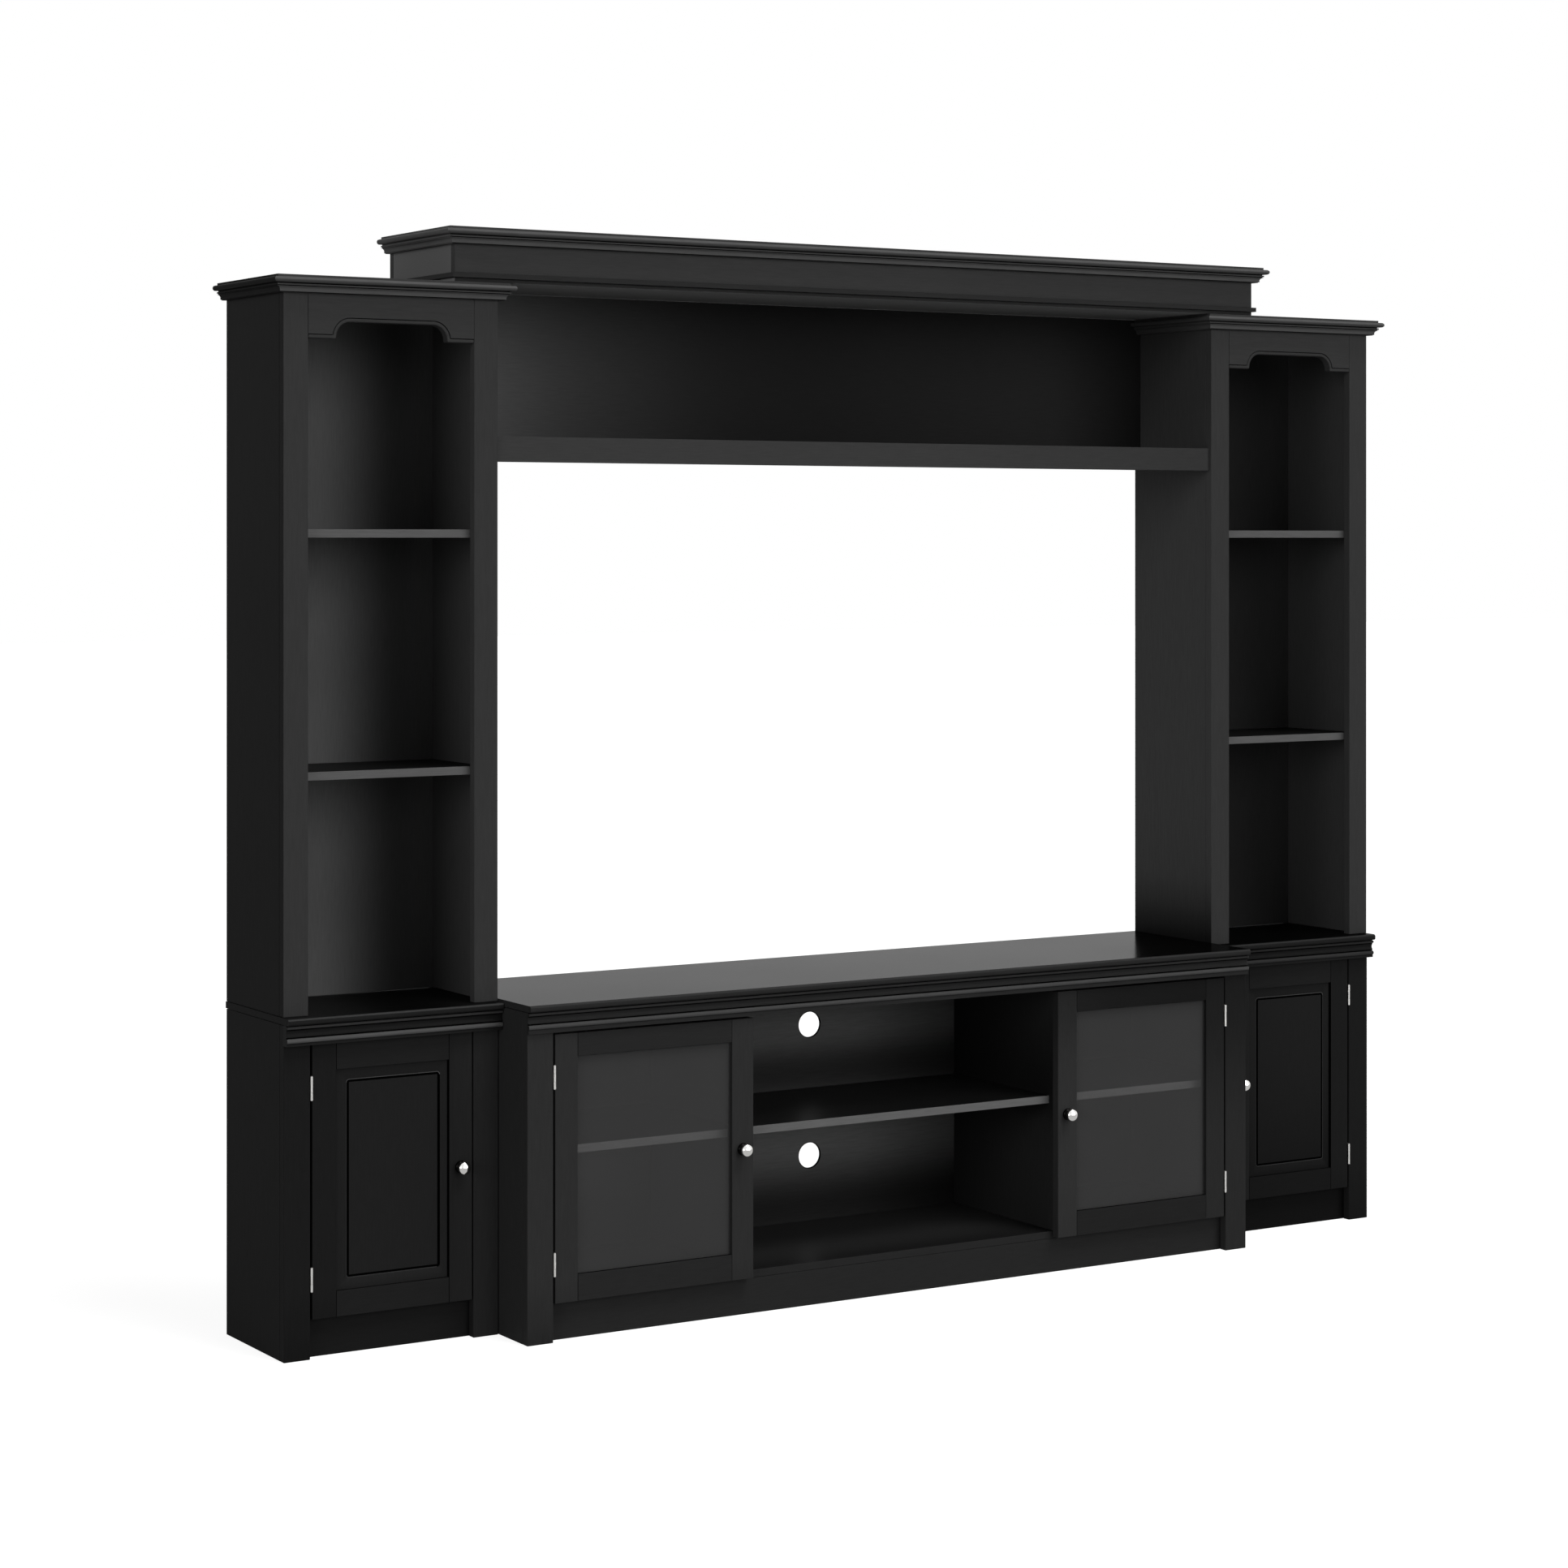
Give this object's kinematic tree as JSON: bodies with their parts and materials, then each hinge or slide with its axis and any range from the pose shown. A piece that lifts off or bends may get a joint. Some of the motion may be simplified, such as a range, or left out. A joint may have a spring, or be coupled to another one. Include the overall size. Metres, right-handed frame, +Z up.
{
  "type": "tv stand with bookcase",
  "caption": "Wall unit with a low media console between pier cabinets, open bookcase towers above them, and a cornice bridge; glazed and panelled doors swing open.",
  "frame": {"origin": "on the floor, under the middle of the unit's width and overall depth", "axes": "+Z up, +X along the width to the right seen from the front, +Y towards the wall; the doors face -Y"},
  "size_m": [2.546, 0.397, 2.0116],
  "materials": {
    "black_paint": "satin black lacquer over wood, with fine grain showing through",
    "clear_glass": "clear polished pane",
    "chrome": "bright polished",
    "hinge_steel": "bright plated steel"
  },
  "bodies": {
    "carcass": {"bridge_apron": "black_paint", "bridge_back_panel": "black_paint", "bridge_shelf": "black_paint", "console_back_panel": "black_paint", "console_base": "black_paint", "console_centre_shelf": "black_paint", "console_partition_left": "black_paint", "console_partition_right": "black_paint", "console_side_left": "black_paint", "console_side_right": "black_paint", "console_side_shelf_left": "black_paint", "console_side_shelf_right": "black_paint", "console_top": "black_paint", "cornice_box": "black_paint", "cornice_crown": "black_paint", "cornice_soffit_board": "black_paint", "glass_door_left_lower_hinge": "hinge_steel", "glass_door_left_upper_hinge": "hinge_steel", "glass_door_right_lower_hinge": "hinge_steel", "glass_door_right_upper_hinge": "hinge_steel", "panel_door_left_lower_hinge": "hinge_steel", "panel_door_left_upper_hinge": "hinge_steel", "panel_door_right_lower_hinge": "hinge_steel", "panel_door_right_upper_hinge": "hinge_steel", "pier_left_back_panel": "black_paint", "pier_left_base": "black_paint", "pier_left_inner_side": "black_paint", "pier_left_outer_side": "black_paint", "pier_left_top": "black_paint", "pier_right_back_panel": "black_paint", "pier_right_base": "black_paint", "pier_right_inner_side": "black_paint", "pier_right_outer_side": "black_paint", "pier_right_top": "black_paint", "tower_left_arched_rail": "black_paint", "tower_left_back_panel": "black_paint", "tower_left_cap": "black_paint", "tower_left_inner_side": "black_paint", "tower_left_lower_shelf": "black_paint", "tower_left_outer_side": "black_paint", "tower_left_upper_shelf": "black_paint", "tower_right_arched_rail": "black_paint", "tower_right_back_panel": "black_paint", "tower_right_cap": "black_paint", "tower_right_inner_side": "black_paint", "tower_right_lower_shelf": "black_paint", "tower_right_outer_side": "black_paint", "tower_right_upper_shelf": "black_paint"},
    "glass_door_left": {"glass_door_left_frame": "black_paint", "glass_door_left_knob": "chrome", "glass_door_left_pane": "clear_glass"},
    "glass_door_right": {"glass_door_right_frame": "black_paint", "glass_door_right_knob": "chrome", "glass_door_right_pane": "clear_glass"},
    "panel_door_left": {"panel_door_left_frame": "black_paint", "panel_door_left_knob": "chrome", "panel_door_left_panel": "black_paint"},
    "panel_door_right": {"panel_door_right_frame": "black_paint", "panel_door_right_knob": "chrome", "panel_door_right_panel": "black_paint"}
  },
  "joints": [
    {"name": "glass_door_left_hinge", "type": "hinge", "parent": "carcass", "child": "glass_door_left", "pos_m": [-0.769, -0.1763, 0.3127], "axis": [0, 0, -1], "range_deg": [0, 110]},
    {"name": "glass_door_right_hinge", "type": "hinge", "parent": "carcass", "child": "glass_door_right", "pos_m": [0.769, -0.1763, 0.3127], "axis": [0, 0, 1], "range_deg": [0, 110]},
    {"name": "panel_door_left_hinge", "type": "hinge", "parent": "carcass", "child": "panel_door_left", "pos_m": [-1.1935, -0.0643, 0.3127], "axis": [0, 0, -1], "range_deg": [0, 110]},
    {"name": "panel_door_right_hinge", "type": "hinge", "parent": "carcass", "child": "panel_door_right", "pos_m": [1.1935, -0.0643, 0.3127], "axis": [0, 0, 1], "range_deg": [0, 110]}
  ]
}
